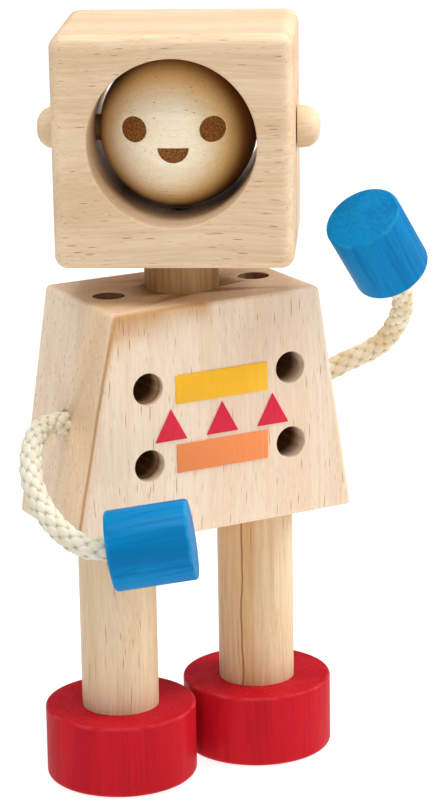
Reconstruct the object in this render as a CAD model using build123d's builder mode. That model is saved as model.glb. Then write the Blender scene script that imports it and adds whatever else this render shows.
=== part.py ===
from build123d import *
import os
from math import atan2, cos, degrees, pi, radians, sin, tan

# A wooden toy robot: a trapezoid torso on two dowel legs with round feet, a cube head that turns on a
# dowel neck, a ball face that spins on an axle inside the head, and two rope arms with round hands.
# Millimetres, +Z up. The origin is on the floor, midway between the feet and under the neck. The robot
# looks along -Y, so its own left is +X and its own right is -X.

os.makedirs("parts", exist_ok=True)

sides = {"left": 1, "right": -1}

# fits between pieces, all on the radius
glue_gap = 0.05
running_gap = 0.06
loose_gap = 0.3

# the cone at the mouth of a drilled hole, and how far past a face a blind cut starts or ends
mouth_angle = 90
spare_depth = 1.0

# feet and legs
foot_diameter = 48.0
foot_height = 23.5
foot_spacing = 49.8
foot_bottom_edge = 1.6
foot_top_edge = 0.8
leg_diameter = 24.4
leg_in_foot = 14.0
leg_in_torso = 14.0
leg_mouth_edge = 0.6

# torso: a trapezoid seen from the front, of even depth
torso_bottom = 84.0
torso_height = 72.8
torso_bottom_width = 94.2
torso_top_width = 71.2
torso_depth = 48.4
torso_edge = 1.6
torso_top = torso_bottom + torso_height
torso_front = torso_depth / 2

# peg holes in the chest and in the shoulders
peg_hole_diameter = 10.0
peg_hole_depth = 16.0
# the chest holes' depths as the drill left them: no two floors lie in one plane
chest_hole_depths = {
    ("left", "upper"): 16.0,
    ("left", "lower"): 15.6,
    ("right", "upper"): 15.2,
    ("right", "lower"): 14.8,
}
peg_mouth_edge = 0.3
chest_hole_spacing = 49.6
chest_hole_heights = {"lower": 108.1, "upper": 132.3}
shoulder_hole_spacing = 50.8

# thin painted tiles glued on the chest
tile_thickness = 0.4
bar_width = 31.9
bar_height = 9.0
bar_heights = {"yellow_bar": 130.9, "orange_bar": 109.0}
triangle_width = 11.0
triangle_height = 10.0
triangle_base = 115.1
triangle_spacing = 17.8
tile_middle = 0.5
triangle_places = {"left": 1, "middle": 0, "right": -1}

# neck
neck_diameter = 23.2
neck_in_torso = 16.0
neck_shown = 11.5
neck_in_head = 6.0
neck_end_gap = 0.1

# head, turned about the neck
head_turn = -32.0
head_width = 72.4
head_depth = 59.4
head_height = 70.8
head_edge = 4.0
head_bottom = torso_top + neck_shown
face_bore_diameter = 50.8
face_bore_above_bottom = 38.4
face_bore_edge = 0.7
face_height = head_bottom + face_bore_above_bottom
bore_floor = face_height - face_bore_diameter / 2

# screw that holds the head down on the neck and lets it turn
screw_diameter = 4.0
screw_head_diameter = 8.0
screw_head_height = 2.4
screw_slot_length = 5.0
screw_slot_width = 1.1
screw_slot_depth = 1.2
screw_recess_depth = 3.2
screw_in_neck = 16.0
screw_hole_diameter = 4.6
screw_recess_diameter = 8.8

# ball face and its axle
ball_diameter = 48.4
axle_diameter = 8.0
engraving_depth = 0.4
eye_diameter = 7.7
eye_spacing = 23.6
eye_above_axle = 3.0
mouth_diameter = 9.4
mouth_below_axle = 2.2

# knobs on the ends of the axle
ear_diameter = 13.0
ear_height = 7.0
ear_dome = 5.2
ear_hole_depth = 5.0
ear_gap = 0.3

# rope arms
rope_diameter = 7.2
rope_hole_diameter = rope_diameter + 2 * loose_gap
rope_in_hole = 8.0
shoulder_height = 118.9

# how much of the shorter run beside it each bend of a rope may use up
bend_share = 0.45

# hands
hand_diameter = 24.0
hand_length = 24.5
hand_edge = 0.8

# where the rope enters each hand, and the way the hand points from there
hand_starts = {"left": (54.4, -36.4, 162.1), "right": (-53.7, -54.1, 94.5)}
hand_directions = {"left": (-0.582, -0.231, 0.779), "right": (0.853, -0.499, 0.152)}

# each arm's rope from inside the shoulder hole to inside the hand
rope_routes = {
    "left": [
        (33.5, 0.0, 117.6),
        (45.5, 0.0, 119.5),
        (57.0, -2.5, 124.5),
        (66.5, -10.5, 130.5),
        (67.5, -20.0, 141.0),
        (63.5, -29.0, 150.5),
        (57.4, -35.0, 158.3),
        (49.8, -38.2, 168.3),
    ],
    "right": [
        (-33.5, 0.0, 117.6),
        (-45.5, 0.0, 119.5),
        (-55.0, -7.5, 119.5),
        (-63.0, -19.0, 112.5),
        (-65.5, -30.0, 105.0),
        (-63.5, -41.5, 98.0),
        (-57.6, -51.6, 93.9),
        (-46.9, -58.1, 95.7),
    ],
}

leg_radius = leg_diameter / 2
neck_radius = neck_diameter / 2
peg_radius = peg_hole_diameter / 2
peg_mouth_radius = peg_radius + peg_mouth_edge

# the slanting sides of the torso
side_lean = atan2((torso_bottom_width - torso_top_width) / 2, torso_height)


def torso_half_width(height):
    """Half the torso's width at a height above the floor."""
    share = (height - torso_bottom) / torso_height
    return (torso_bottom_width + (torso_top_width - torso_bottom_width) * share) / 2


def side_plane(sign):
    """The plane of the arm hole: on the slanting side of the torso, facing outwards."""
    return Plane(
        origin=(sign * torso_half_width(shoulder_height), 0, shoulder_height),
        x_dir=(0, 1, 0),
        z_dir=(sign * cos(side_lean), 0, sin(side_lean)),
    )


chest_plane = Plane.XZ.offset(torso_front)

# ---- torso block ----
with BuildPart() as torso_block:
    with BuildSketch(Plane.XZ):
        with BuildLine():
            Polyline(
                (-torso_bottom_width / 2, torso_bottom),
                (torso_bottom_width / 2, torso_bottom),
                (torso_top_width / 2, torso_top),
                (-torso_top_width / 2, torso_top),
                close=True,
            )
        make_face()
    extrude(amount=torso_front, both=True)
    fillet(torso_block.edges(), radius=torso_edge)
    # chest holes, then shoulder holes beside the neck
    with Locations(chest_plane):
        for (side, row), depth in chest_hole_depths.items():
            with Locations((sides[side] * chest_hole_spacing / 2, chest_hole_heights[row])):
                CounterSinkHole(peg_radius, peg_mouth_radius, depth, mouth_angle)
    with Locations(*[(s * shoulder_hole_spacing / 2, 0, torso_top) for s in sides.values()]):
        CounterSinkHole(peg_radius, peg_mouth_radius, peg_hole_depth, mouth_angle)
    # neck socket
    with Locations((0, 0, torso_top)):
        Hole(neck_radius + glue_gap, depth=neck_in_torso)
    # leg sockets, from below
    with Locations(Plane(origin=(0, 0, torso_bottom), z_dir=(0, 0, -1))):
        with Locations(*[(s * foot_spacing / 2, 0) for s in sides.values()]):
            Hole(leg_radius + glue_gap, depth=leg_in_torso)
    # rope holes, square to the slanting sides
    for sign in sides.values():
        with Locations(side_plane(sign)):
            Hole(rope_hole_diameter / 2, depth=rope_in_hole + spare_depth)

torso_block.part.label = "torso_block"
export_step(torso_block.part, "parts/torso_block.step")

# ---- chest tiles ----
for name, height in bar_heights.items():
    with BuildPart() as bar:
        with BuildSketch(chest_plane):
            with Locations((tile_middle, height)):
                Rectangle(bar_width, bar_height)
        extrude(amount=tile_thickness)
    bar.part.label = name
    export_step(bar.part, f"parts/{name}.step")

for side, place in triangle_places.items():
    middle = tile_middle + place * triangle_spacing
    low_left = (middle - triangle_width / 2, triangle_base)
    low_right = (middle + triangle_width / 2, triangle_base)
    with BuildPart() as triangle:
        with BuildSketch(chest_plane):
            Polygon(low_left, low_right, (middle, triangle_base + triangle_height), align=None)
        extrude(amount=tile_thickness)
    triangle.part.label = f"{side}_triangle"
    export_step(triangle.part, f"parts/{side}_triangle.step")

# ---- legs and feet ----
leg_bottom = foot_height - leg_in_foot
leg_top = torso_bottom + leg_in_torso
for side, sign in sides.items():
    with BuildPart() as leg:
        with Locations((sign * foot_spacing / 2, 0, leg_bottom)):
            Cylinder(leg_radius, leg_top - leg_bottom, align=(Align.CENTER, Align.CENTER, Align.MIN))
    leg.part.label = f"{side}_leg"
    export_step(leg.part, f"parts/{side}_leg.step")

    with BuildPart() as foot:
        with Locations((sign * foot_spacing / 2, 0, 0)):
            Cylinder(foot_diameter / 2, foot_height, align=(Align.CENTER, Align.CENTER, Align.MIN))
        fillet(foot.edges().group_by(Axis.Z)[0], radius=foot_bottom_edge)
        fillet(foot.edges().group_by(Axis.Z)[-1], radius=foot_top_edge)
        with Locations((sign * foot_spacing / 2, 0, foot_height)):
            mouth = leg_radius + glue_gap
            CounterSinkHole(mouth, mouth + leg_mouth_edge, leg_in_foot, mouth_angle)
    foot.part.label = f"{side}_foot"
    export_step(foot.part, f"parts/{side}_foot.step")

# ---- neck ----
neck_bottom = torso_top - neck_in_torso
neck_top = head_bottom + neck_in_head - neck_end_gap
with BuildPart() as neck_peg:
    with Locations((0, 0, neck_bottom)):
        Cylinder(neck_radius, neck_top - neck_bottom, align=(Align.CENTER, Align.CENTER, Align.MIN))
    with Locations((0, 0, neck_top)):
        Hole(screw_diameter / 2 + glue_gap, depth=screw_in_neck + spare_depth)
neck_peg.part.label = "neck_peg"
export_step(neck_peg.part, "parts/neck_peg.step")

screw_seat = bore_floor - screw_recess_depth
with BuildPart() as neck_screw:
    with Locations((0, 0, neck_top - screw_in_neck)):
        shank_length = screw_seat + neck_end_gap - (neck_top - screw_in_neck)
        Cylinder(screw_diameter / 2, shank_length, align=(Align.CENTER, Align.CENTER, Align.MIN))
    with Locations((0, 0, screw_seat + neck_end_gap)):
        Cylinder(screw_head_diameter / 2, screw_head_height, align=(Align.CENTER, Align.CENTER, Align.MIN))
    fillet(neck_screw.edges().group_by(Axis.Z)[-1], radius=screw_head_height / 3)
    # the cross slot for the driver
    with Locations((0, 0, screw_seat + neck_end_gap + screw_head_height)):
        for length, width in ((screw_slot_length, screw_slot_width), (screw_slot_width, screw_slot_length)):
            cross = (Align.CENTER, Align.CENTER, Align.MAX)
            Box(length, width, screw_slot_depth, align=cross, mode=Mode.SUBTRACT)
neck_screw.part.label = "neck_screw"
export_step(neck_screw.part, "parts/neck_screw.step")

# ---- head block ----
turn = radians(head_turn)
head_x = (cos(turn), sin(turn), 0)
head_front = (sin(turn), -cos(turn), 0)
head_frame = Plane(origin=(0, 0, 0), x_dir=head_x, z_dir=(0, 0, 1))
face_plane = Plane(origin=(0, 0, face_height), x_dir=head_x, z_dir=head_front)
axle_plane = Plane(origin=(0, 0, face_height), x_dir=(0, 0, 1), z_dir=head_x)

with BuildPart(head_frame) as head_block:
    with Locations((0, 0, head_bottom)):
        Box(head_width, head_depth, head_height, align=(Align.CENTER, Align.CENTER, Align.MIN))
    fillet(head_block.edges(), radius=head_edge)
    # the round window right through, front to back
    with BuildSketch(face_plane):
        Circle(face_bore_diameter / 2)
    extrude(amount=head_depth, both=True, mode=Mode.SUBTRACT)
    rounds = head_block.edges().filter_by(GeomType.CIRCLE)
    fillet(rounds.filter_by(lambda edge: edge.radius > face_bore_diameter / 3), radius=face_bore_edge)
    # axle holes through both cheeks
    with BuildSketch(axle_plane):
        Circle(axle_diameter / 2 + running_gap)
    extrude(amount=head_width, both=True, mode=Mode.SUBTRACT)
    # neck socket from below, with the screw's hole and recess above it
    with Locations(Plane(origin=(0, 0, head_bottom), z_dir=(0, 0, -1))):
        Hole(neck_radius + running_gap, depth=neck_in_head)
    with Locations((0, 0, bore_floor)):
        Hole(screw_recess_diameter / 2, depth=screw_recess_depth)
        Hole(screw_hole_diameter / 2, depth=bore_floor - head_bottom)
head_block.part.label = "head_block"
export_step(head_block.part, "parts/head_block.step")

# ---- ball face ----
with BuildPart() as engraving:
    with BuildSketch(face_plane):
        with Locations(*[(s * eye_spacing / 2, eye_above_axle) for s in sides.values()]):
            Circle(eye_diameter / 2)
        with BuildLine():
            lip_left = (-mouth_diameter / 2, -mouth_below_axle)
            lip_right = (mouth_diameter / 2, -mouth_below_axle)
            chin = (0, -mouth_below_axle - mouth_diameter / 2)
            ThreePointArc(lip_left, chin, lip_right)
            Line(lip_right, lip_left)
        make_face()
    extrude(amount=ball_diameter / 2)
    with Locations((0, 0, face_height)):
        Sphere(ball_diameter / 2 - engraving_depth, mode=Mode.SUBTRACT)

with BuildPart() as face_ball:
    with Locations((0, 0, face_height)):
        Sphere(ball_diameter / 2)
    with BuildSketch(axle_plane):
        Circle(axle_diameter / 2 + glue_gap)
    extrude(amount=ball_diameter, both=True, mode=Mode.SUBTRACT)
    add(engraving.part, mode=Mode.SUBTRACT)
face_ball.part.label = "face_ball"
export_step(face_ball.part, "parts/face_ball.step")

# ---- axle and ear knobs ----
axle_reach = head_width / 2 + ear_gap + ear_hole_depth
with BuildPart() as face_axle:
    with BuildSketch(axle_plane):
        Circle(axle_diameter / 2)
    extrude(amount=axle_reach, both=True)
face_axle.part.label = "face_axle"
export_step(face_axle.part, "parts/face_axle.step")

for side, sign in sides.items():
    out = (sign * head_x[0], sign * head_x[1], 0)
    reach = head_width / 2 + ear_gap
    ear_root = (out[0] * reach, out[1] * reach, face_height)
    with BuildPart(Plane(origin=ear_root, x_dir=(0, 0, 1), z_dir=out)) as ear_knob:
        Cylinder(ear_diameter / 2, ear_height, align=(Align.CENTER, Align.CENTER, Align.MIN))
        fillet(ear_knob.faces().sort_by(Axis(ear_root, out))[-1].edges(), radius=ear_dome)
        Hole(axle_diameter / 2 + glue_gap, depth=ear_hole_depth)
    ear_knob.part.label = f"{side}_ear_knob"
    export_step(ear_knob.part, f"parts/{side}_ear_knob.step")

# ---- hands ----
for side in sides:
    start, direction = Vector(*hand_starts[side]), Vector(*hand_directions[side]).normalized()
    with BuildPart(Plane(origin=start, z_dir=direction)) as hand:
        Cylinder(hand_diameter / 2, hand_length, align=(Align.CENTER, Align.CENTER, Align.MIN))
        fillet(hand.edges().filter_by(GeomType.CIRCLE), radius=hand_edge)
        Hole(rope_hole_diameter / 2, depth=rope_in_hole + spare_depth)
    hand.part.label = f"{side}_hand"
    export_step(hand.part, f"parts/{side}_hand.step")


# ---- rope arms ----
def bend_radii(route):
    """The radius of the bend at each inner point: as large as its two runs allow."""
    radii = []
    for before, here, after in zip(route, route[1:], route[2:]):
        run_in, run_out = Vector(*here) - Vector(*before), Vector(*after) - Vector(*here)
        half_turn = radians(run_in.get_angle(run_out)) / 2
        radii.append(bend_share * min(run_in.length, run_out.length) / tan(half_turn))
    return radii


for side, route in rope_routes.items():
    radii = bend_radii(route)
    with BuildPart() as arm_rope:
        with BuildLine() as line:
            FilletPolyline(*route, radius=radii)
        with BuildSketch(Plane(origin=line.line @ 0, z_dir=line.line % 0)):
            Circle(rope_diameter / 2)
        sweep(path=line.line)
    arm_rope.part.label = f"{side}_arm_rope"
    export_step(arm_rope.part, f"parts/{side}_arm_rope.step")
    length = sum(edge.length for edge in line.edges())
    volume_share = arm_rope.part.volume / (pi * (rope_diameter / 2) ** 2 * length)
    print(f"{side} arm rope: {length:.1f} mm long, bends of {[round(r, 1) for r in radii]} mm")
    print(f"its volume over its section times its length: {volume_share:.4f}")

print(f"height {head_bottom + head_height:.1f} mm, sides lean {degrees(side_lean):.1f} degrees")
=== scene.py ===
# %% [markdown]
# # A wooden toy robot
# The robot is bare wood with a few stained and painted pieces: a torso cut as a trapezoid, two dowel
# legs on round red feet, a cube head with a round window, a ball face that spins inside it, and two
# arms of braided cotton rope that end in blue wooden hands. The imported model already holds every
# solid piece at its real size and place. Here each piece gets its finished surface, and the ropes
# get their braid.

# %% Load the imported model
from math import cos, pi, radians, sin

import bmesh
import bpy
from mathutils import Matrix, Vector


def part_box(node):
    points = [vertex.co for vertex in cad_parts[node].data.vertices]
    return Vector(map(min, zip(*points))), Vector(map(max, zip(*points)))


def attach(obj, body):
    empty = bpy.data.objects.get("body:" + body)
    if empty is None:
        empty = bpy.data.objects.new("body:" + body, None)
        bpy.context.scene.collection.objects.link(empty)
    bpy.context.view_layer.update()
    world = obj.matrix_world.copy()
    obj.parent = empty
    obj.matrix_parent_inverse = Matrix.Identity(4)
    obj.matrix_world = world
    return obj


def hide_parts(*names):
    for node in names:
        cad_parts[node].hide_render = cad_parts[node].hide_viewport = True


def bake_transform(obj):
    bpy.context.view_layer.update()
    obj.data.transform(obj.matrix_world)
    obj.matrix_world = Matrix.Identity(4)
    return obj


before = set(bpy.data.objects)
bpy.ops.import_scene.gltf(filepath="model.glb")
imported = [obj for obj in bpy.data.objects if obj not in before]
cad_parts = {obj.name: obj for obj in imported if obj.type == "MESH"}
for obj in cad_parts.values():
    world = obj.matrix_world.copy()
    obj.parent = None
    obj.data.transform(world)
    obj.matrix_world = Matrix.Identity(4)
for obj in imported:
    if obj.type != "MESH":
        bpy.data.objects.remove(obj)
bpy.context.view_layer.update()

MM = 0.001

# %% [markdown]
# ## Camera
# The robot is seen a little from its right and from just above its head, through a long lens, so
# upright edges stay almost parallel. A camera looks along its own -Z, and a track quaternion turns
# that axis from the eye to the point looked at. A small roll about the line of sight follows.

# %% Place the camera
camera_place = Vector((-406.6, -775.5, 364.5)) * MM
camera_target = Vector((14.42, 0.0, 116.23)) * MM
camera_roll = radians(-0.9)

camera_data = bpy.data.cameras.new("camera")
camera_data.lens = 128.7
camera_data.sensor_width = 36.0
camera_data.shift_x = -0.0065
camera = bpy.data.objects.new("camera", camera_data)
line_of_sight = camera_target - camera_place
turn = line_of_sight.to_track_quat("-Z", "Y").to_matrix().to_4x4()
camera.matrix_world = Matrix.Translation(camera_place) @ turn @ Matrix.Rotation(camera_roll, 4, "Z")
bpy.context.scene.collection.objects.link(camera)
bpy.context.scene.camera = camera
bpy.context.scene.view_settings.view_transform = "Standard"
print(f"camera {line_of_sight.length:.3f} m from the robot")

# %% [markdown]
# ## Node trees in script
# Every shader group and every Geometry Nodes tree below is built node by node. A few helpers keep
# that short. Wherever one takes a value, it can be a number or the output of another node.

# %% Helpers for node trees
def connect(tree, socket, value):
    """Give an input a value, or link another node's output to it."""
    if isinstance(value, bpy.types.NodeSocket):
        tree.links.new(value, socket)
    else:
        socket.default_value = value


def fill(tree, node, inputs):
    """Fill a node's inputs, given by name or number."""
    for key, value in inputs.items():
        connect(tree, node.inputs[key], value)
    return node


def add_node(tree, kind, inputs=None, **settings):
    """Add a node, set its settings, then fill its inputs."""
    node = tree.nodes.new(kind)
    for name, value in settings.items():
        setattr(node, name, value)
    return fill(tree, node, inputs or {})


def add_group(tree, group, inputs):
    """Add a shader group and fill its inputs."""
    return add_node(tree, "ShaderNodeGroup", inputs, node_tree=group)


def new_tree(name, kind, inputs, outputs):
    """A node group. An input is given as name: (type, default), an output as name: type."""
    tree = bpy.data.node_groups.new(name, kind)
    for socket_name, (kind_in, default) in inputs.items():
        socket = tree.interface.new_socket(socket_name, in_out="INPUT", socket_type=f"NodeSocket{kind_in}")
        if default is not None:
            socket.default_value = default
    for socket_name, kind_out in outputs.items():
        tree.interface.new_socket(socket_name, in_out="OUTPUT", socket_type=f"NodeSocket{kind_out}")
    return tree, tree.nodes.new("NodeGroupInput").outputs, tree.nodes.new("NodeGroupOutput").inputs


def parts(tree, vector):
    """A vector's three parts."""
    return add_node(tree, "ShaderNodeSeparateXYZ", {0: vector}).outputs


def math(tree, operation, a, b=0.0, c=0.0, clamp=False):
    """One Math node's result."""
    node = add_node(tree, "ShaderNodeMath", {0: a, 1: b, 2: c}, operation=operation, use_clamp=clamp)
    return node.outputs[0]


def vector_math(tree, operation, a, b=(0.0, 0.0, 0.0)):
    """One Vector Math node's vector."""
    return add_node(tree, "ShaderNodeVectorMath", {0: a, 1: b}, operation=operation).outputs["Vector"]


def noise(tree, vector, scale, detail, roughness=0.5, output="Fac"):
    """Smooth noise, as one number or as a colour."""
    inputs = {"Vector": vector, "Scale": scale, "Detail": detail, "Roughness": roughness}
    return add_node(tree, "ShaderNodeTexNoise", inputs).outputs[output]


def fade(tree, value, low, high, start=0.0, end=1.0):
    """Smoothly from start to end as a value goes from low to high."""
    inputs = {"Value": value, "From Min": low, "From Max": high, "To Min": start, "To Max": end}
    return add_node(tree, "ShaderNodeMapRange", inputs, interpolation_type="SMOOTHSTEP").outputs["Result"]


def mix(tree, factor, a, b, blend="MIX"):
    """Two colours mixed, or one multiplied by the other."""
    inputs = {"Factor": factor, "A": a, "B": b}
    node = tree.nodes.new("ShaderNodeMix")
    node.data_type, node.blend_type = "RGBA", blend
    for socket in node.inputs:
        if socket.enabled and socket.name in inputs:
            connect(tree, socket, inputs[socket.name])
    return next(socket for socket in node.outputs if socket.enabled)


# %% [markdown]
# ## Rope arms
# Each arm is a short piece of braided cotton rope, glued into a hole in the torso's side and into
# a hole in the hand. A smooth NURBS spline follows the arm's route. The braid could be painted on
# a tube, but a plump cotton rope has bumps that catch the light, so its ten strands are real: five
# wind one way, five the other, and each passes over one strand and under the next.

# %% The rope's routes, from inside the torso to inside the hand
rope_diameter = 7.2 * MM
hand_starts = {
    "left": Vector((54.4, -36.4, 162.1)) * MM,
    "right": Vector((-53.7, -54.1, 94.5)) * MM,
}
hand_directions = {"left": Vector((-0.582, -0.231, 0.779)), "right": Vector((0.853, -0.499, 0.152))}
rope_routes = {
    "left": [
        (33.5, 0.0, 117.6),
        (45.5, 0.0, 119.5),
        (57.0, -2.5, 124.5),
        (66.5, -10.5, 130.5),
        (67.5, -20.0, 141.0),
        (63.5, -29.0, 150.5),
        (57.4, -35.0, 158.3),
        (49.8, -38.2, 168.3),
    ],
    "right": [
        (-33.5, 0.0, 117.6),
        (-45.5, 0.0, 119.5),
        (-55.0, -7.5, 119.5),
        (-63.0, -19.0, 112.5),
        (-65.5, -30.0, 105.0),
        (-63.5, -41.5, 98.0),
        (-57.6, -51.6, 93.9),
        (-46.9, -58.1, 95.7),
    ],
}


def rope_line(side):
    """A smooth NURBS curve whose control points are the arm's route."""
    curve = bpy.data.curves.new(f"{side}_rope_line", "CURVE")
    curve.dimensions = "3D"
    curve.resolution_u = 24
    spline = curve.splines.new("NURBS")
    spline.points.add(len(rope_routes[side]) - 1)
    for point, place in zip(spline.points, rope_routes[side]):
        point.co = (*(Vector(place) * MM), 1.0)
    spline.order_u = 3
    spline.use_endpoint_u = True
    return bpy.data.objects.new(f"{side}_rope_line", curve)


# %% [markdown]
# ## The braid
# In the tree below, the line is copied once for each strand. Each strand winds about the line while
# its distance from the middle goes up and down five times a turn, in step with its angle, so that
# the strands of one direction are on top exactly where those of the other are below. A second wave
# on the angle lays the strand more along the rope where it is on top, which gives the long plump
# stitches of a real braid. How far each point lies from the line is stored, for the material.

# %% Build the braid's tree
braid, braid_in, braid_out = new_tree(
    "braided_rope",
    "GeometryNodeTree",
    {
        "Geometry": ("Geometry", None),
        "Lay Length": ("Float", 28.0 * MM),
        "Strand Width": ("Float", 2.7 * MM),
        "Strand Thickness": ("Float", 1.6 * MM),
        "Middle Radius": ("Float", 2.45 * MM),
        "Weave Depth": ("Float", 0.36 * MM),
        "Straightening": ("Float", 0.85),
        "Points": ("Int", 240),
        "Material": ("Material", None),
    },
    {"Geometry": "Geometry"},
)
strands_each_way = 5
line = add_node(
    braid, "GeometryNodeResampleCurve", {"Curve": braid_in["Geometry"], "Count": braid_in["Points"]}
)
copies = add_node(
    braid,
    "GeometryNodeDuplicateElements",
    {"Geometry": line.outputs[0], "Amount": 2 * strands_each_way},
    domain="SPLINE",
)
number = copies.outputs["Duplicate Index"]
parameter = add_node(braid, "GeometryNodeSplineParameter").outputs["Length"]
tangent = add_node(braid, "GeometryNodeInputTangent").outputs[0]
normal = add_node(braid, "GeometryNodeInputNormal").outputs[0]
across = vector_math(braid, "CROSS_PRODUCT", tangent, normal)

# the first five strands wind one way, the rest the other
other_way = math(braid, "GREATER_THAN", number, strands_each_way - 0.5)
direction = math(braid, "SUBTRACT", 1.0, math(braid, "MULTIPLY", other_way, 2.0))
turns = math(braid, "DIVIDE", parameter, braid_in["Lay Length"])
share = math(braid, "DIVIDE", number, strands_each_way)
phase = math(braid, "MULTIPLY", math(braid, "ADD", turns, share), 2 * pi)
wave = math(braid, "MULTIPLY", phase, strands_each_way)
bend = math(braid, "MULTIPLY", math(braid, "SINE", wave), braid_in["Straightening"])
bend = math(braid, "MULTIPLY", math(braid, "DIVIDE", bend, strands_each_way), direction)
angle = math(braid, "MULTIPLY", math(braid, "SUBTRACT", phase, bend), direction)
over = math(braid, "MULTIPLY", math(braid, "COSINE", wave), direction)
radius = math(braid, "MULTIPLY_ADD", over, braid_in["Weave Depth"], braid_in["Middle Radius"])


def scaled(vector, amount):
    """A vector times a number, in the braid's tree."""
    node = add_node(braid, "ShaderNodeVectorMath", {0: vector}, operation="SCALE")
    braid.links.new(amount, node.inputs["Scale"])
    return node.outputs["Vector"]


radial = vector_math(
    braid,
    "ADD",
    scaled(normal, math(braid, "COSINE", angle)),
    scaled(across, math(braid, "SINE", angle)),
)
# the strand's flat side must face outwards, so the way out is kept before the strands are moved
kept = add_node(
    braid,
    "GeometryNodeCaptureAttribute",
    {"Geometry": copies.outputs["Geometry"]},
    domain="POINT",
)
kept.capture_items.new("VECTOR", "Way Out")
braid.links.new(radial, kept.inputs["Way Out"])
away = kept.outputs["Way Out"]
wound = add_node(
    braid, "GeometryNodeSetPosition", {"Geometry": kept.outputs[0], "Offset": scaled(radial, radius)}
)
plump = add_node(
    braid,
    "GeometryNodeSetCurveRadius",
    {"Curve": wound.outputs[0], "Radius": math(braid, "MULTIPLY_ADD", over, 0.12, 0.95)},
)
outward = add_node(
    braid, "GeometryNodeSetCurveNormal", {"Curve": plump.outputs[0], "Normal": away}, mode="FREE"
)
section = add_node(braid, "GeometryNodeCurvePrimitiveCircle", {"Resolution": 12, "Radius": 0.5})
flattened = add_node(
    braid,
    "GeometryNodeTransform",
    {
        "Geometry": section.outputs[0],
        "Scale": add_node(
            braid,
            "ShaderNodeCombineXYZ",
            {"X": braid_in["Strand Thickness"], "Y": braid_in["Strand Width"], "Z": 1.0},
        ).outputs[0],
    },
)
strands = add_node(
    braid,
    "GeometryNodeCurveToMesh",
    {"Curve": outward.outputs[0], "Profile Curve": flattened.outputs[0], "Fill Caps": True},
)
core_section = add_node(
    braid, "GeometryNodeCurvePrimitiveCircle", {"Resolution": 16, "Radius": braid_in["Middle Radius"]}
)
core = add_node(
    braid,
    "GeometryNodeCurveToMesh",
    {"Curve": line.outputs[0], "Profile Curve": core_section.outputs[0], "Fill Caps": True},
)
joined = add_node(braid, "GeometryNodeJoinGeometry")
braid.links.new(strands.outputs[0], joined.inputs[0])
braid.links.new(core.outputs[0], joined.inputs[0])

# how far each point lies from the rope's line, for the material
nearest = add_node(braid, "GeometryNodeCurveToMesh", {"Curve": line.outputs[0]})
proximity = add_node(
    braid, "GeometryNodeProximity", {"Geometry": nearest.outputs[0]}, target_element="EDGES"
)
stored = add_node(
    braid,
    "GeometryNodeStoreNamedAttribute",
    {"Geometry": joined.outputs[0], "Name": "from_middle", "Value": proximity.outputs["Distance"]},
    data_type="FLOAT",
    domain="POINT",
)
smooth = add_node(braid, "GeometryNodeSetShadeSmooth", {"Geometry": stored.outputs[0]})
real = add_node(braid, "GeometryNodeRealizeInstances", {"Geometry": smooth.outputs[0]})
finished = add_node(
    braid, "GeometryNodeSetMaterial", {"Geometry": real.outputs[0], "Material": braid_in["Material"]}
)
braid.links.new(finished.outputs[0], braid_out[0])
print("braided_rope:", len(braid.nodes), "nodes")


# %% A helper that runs a tree and keeps its mesh
def plain_mesh(name, maker, tree, **values):
    """Run a Geometry Nodes tree on an object, and return its result as a plain mesh object."""
    bpy.context.scene.collection.objects.link(maker)
    modifier = maker.modifiers.new("tree", "NODES")
    modifier.node_group = tree
    for item in tree.interface.items_tree:
        if item.in_out == "INPUT" and item.name in values:
            modifier[item.identifier] = values[item.name]
    graph = bpy.context.evaluated_depsgraph_get()
    mesh = bpy.data.meshes.new_from_object(maker.evaluated_get(graph), depsgraph=graph)
    mesh.name = name
    bpy.data.objects.remove(maker)
    piece = bpy.data.objects.new(name, mesh)
    bpy.context.scene.collection.objects.link(piece)
    print(f"{name}: {len(mesh.polygons)} faces")
    return piece


# %% [markdown]
# ## Cotton
# The ropes are undyed cotton, the raised one a little yellower. Stitches are cream on top and brown
# in the crevices, where little light gets in. The stored distance from the rope's middle gives
# that, and a fine noise stands for the yarns.

# %% Make the cotton
def new_material(name):
    """A material with its node tree emptied, and the Principled shader that ends it."""
    material = bpy.data.materials.new(name)
    material.use_nodes = True
    tree = material.node_tree
    tree.nodes.clear()
    shader = tree.nodes.new("ShaderNodeBsdfPrincipled")
    add_node(tree, "ShaderNodeOutputMaterial", {"Surface": shader.outputs[0]})
    return material, tree, shader


def object_place(tree):
    """The point being shaded, in the object's own coordinates."""
    return add_node(tree, "ShaderNodeTexCoord").outputs["Object"]


def bumps(tree, height, strength, distance):
    """A Bump node's normal."""
    inputs = {"Height": height, "Strength": strength, "Distance": distance}
    return add_node(tree, "ShaderNodeBump", inputs).outputs[0]


def new_cotton(name, bright, dull, crevice, fluff):
    """Undyed cotton: bright or dull in patches, darker in its crevices, with lighter fluff on top."""
    material, tree, shader = new_material(name)
    depth = add_node(tree, "ShaderNodeAttribute", attribute_name="from_middle").outputs["Fac"]
    place = vector_math(tree, "MULTIPLY", object_place(tree), (1000.0, 1000.0, 1000.0))
    yarn = noise(tree, place, 3.0, 3.0)
    patch = noise(tree, place, 0.16, 1.0)
    top = fade(tree, depth, 2.5 * MM, 3.35 * MM)
    shaded = mix(tree, top, crevice, mix(tree, fade(tree, patch, 0.35, 0.65), bright, dull))
    fluffy = math(tree, "MULTIPLY", fade(tree, yarn, 0.3, 0.7), 0.3)
    fill(tree, shader, {"Base Color": mix(tree, fluffy, shaded, fluff), "Roughness": 0.85})
    fill(tree, shader, {"Sheen Weight": 0.15, "Normal": bumps(tree, yarn, 0.5, 0.15 * MM)})
    print(name, len(tree.nodes), "nodes")
    return material


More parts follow.
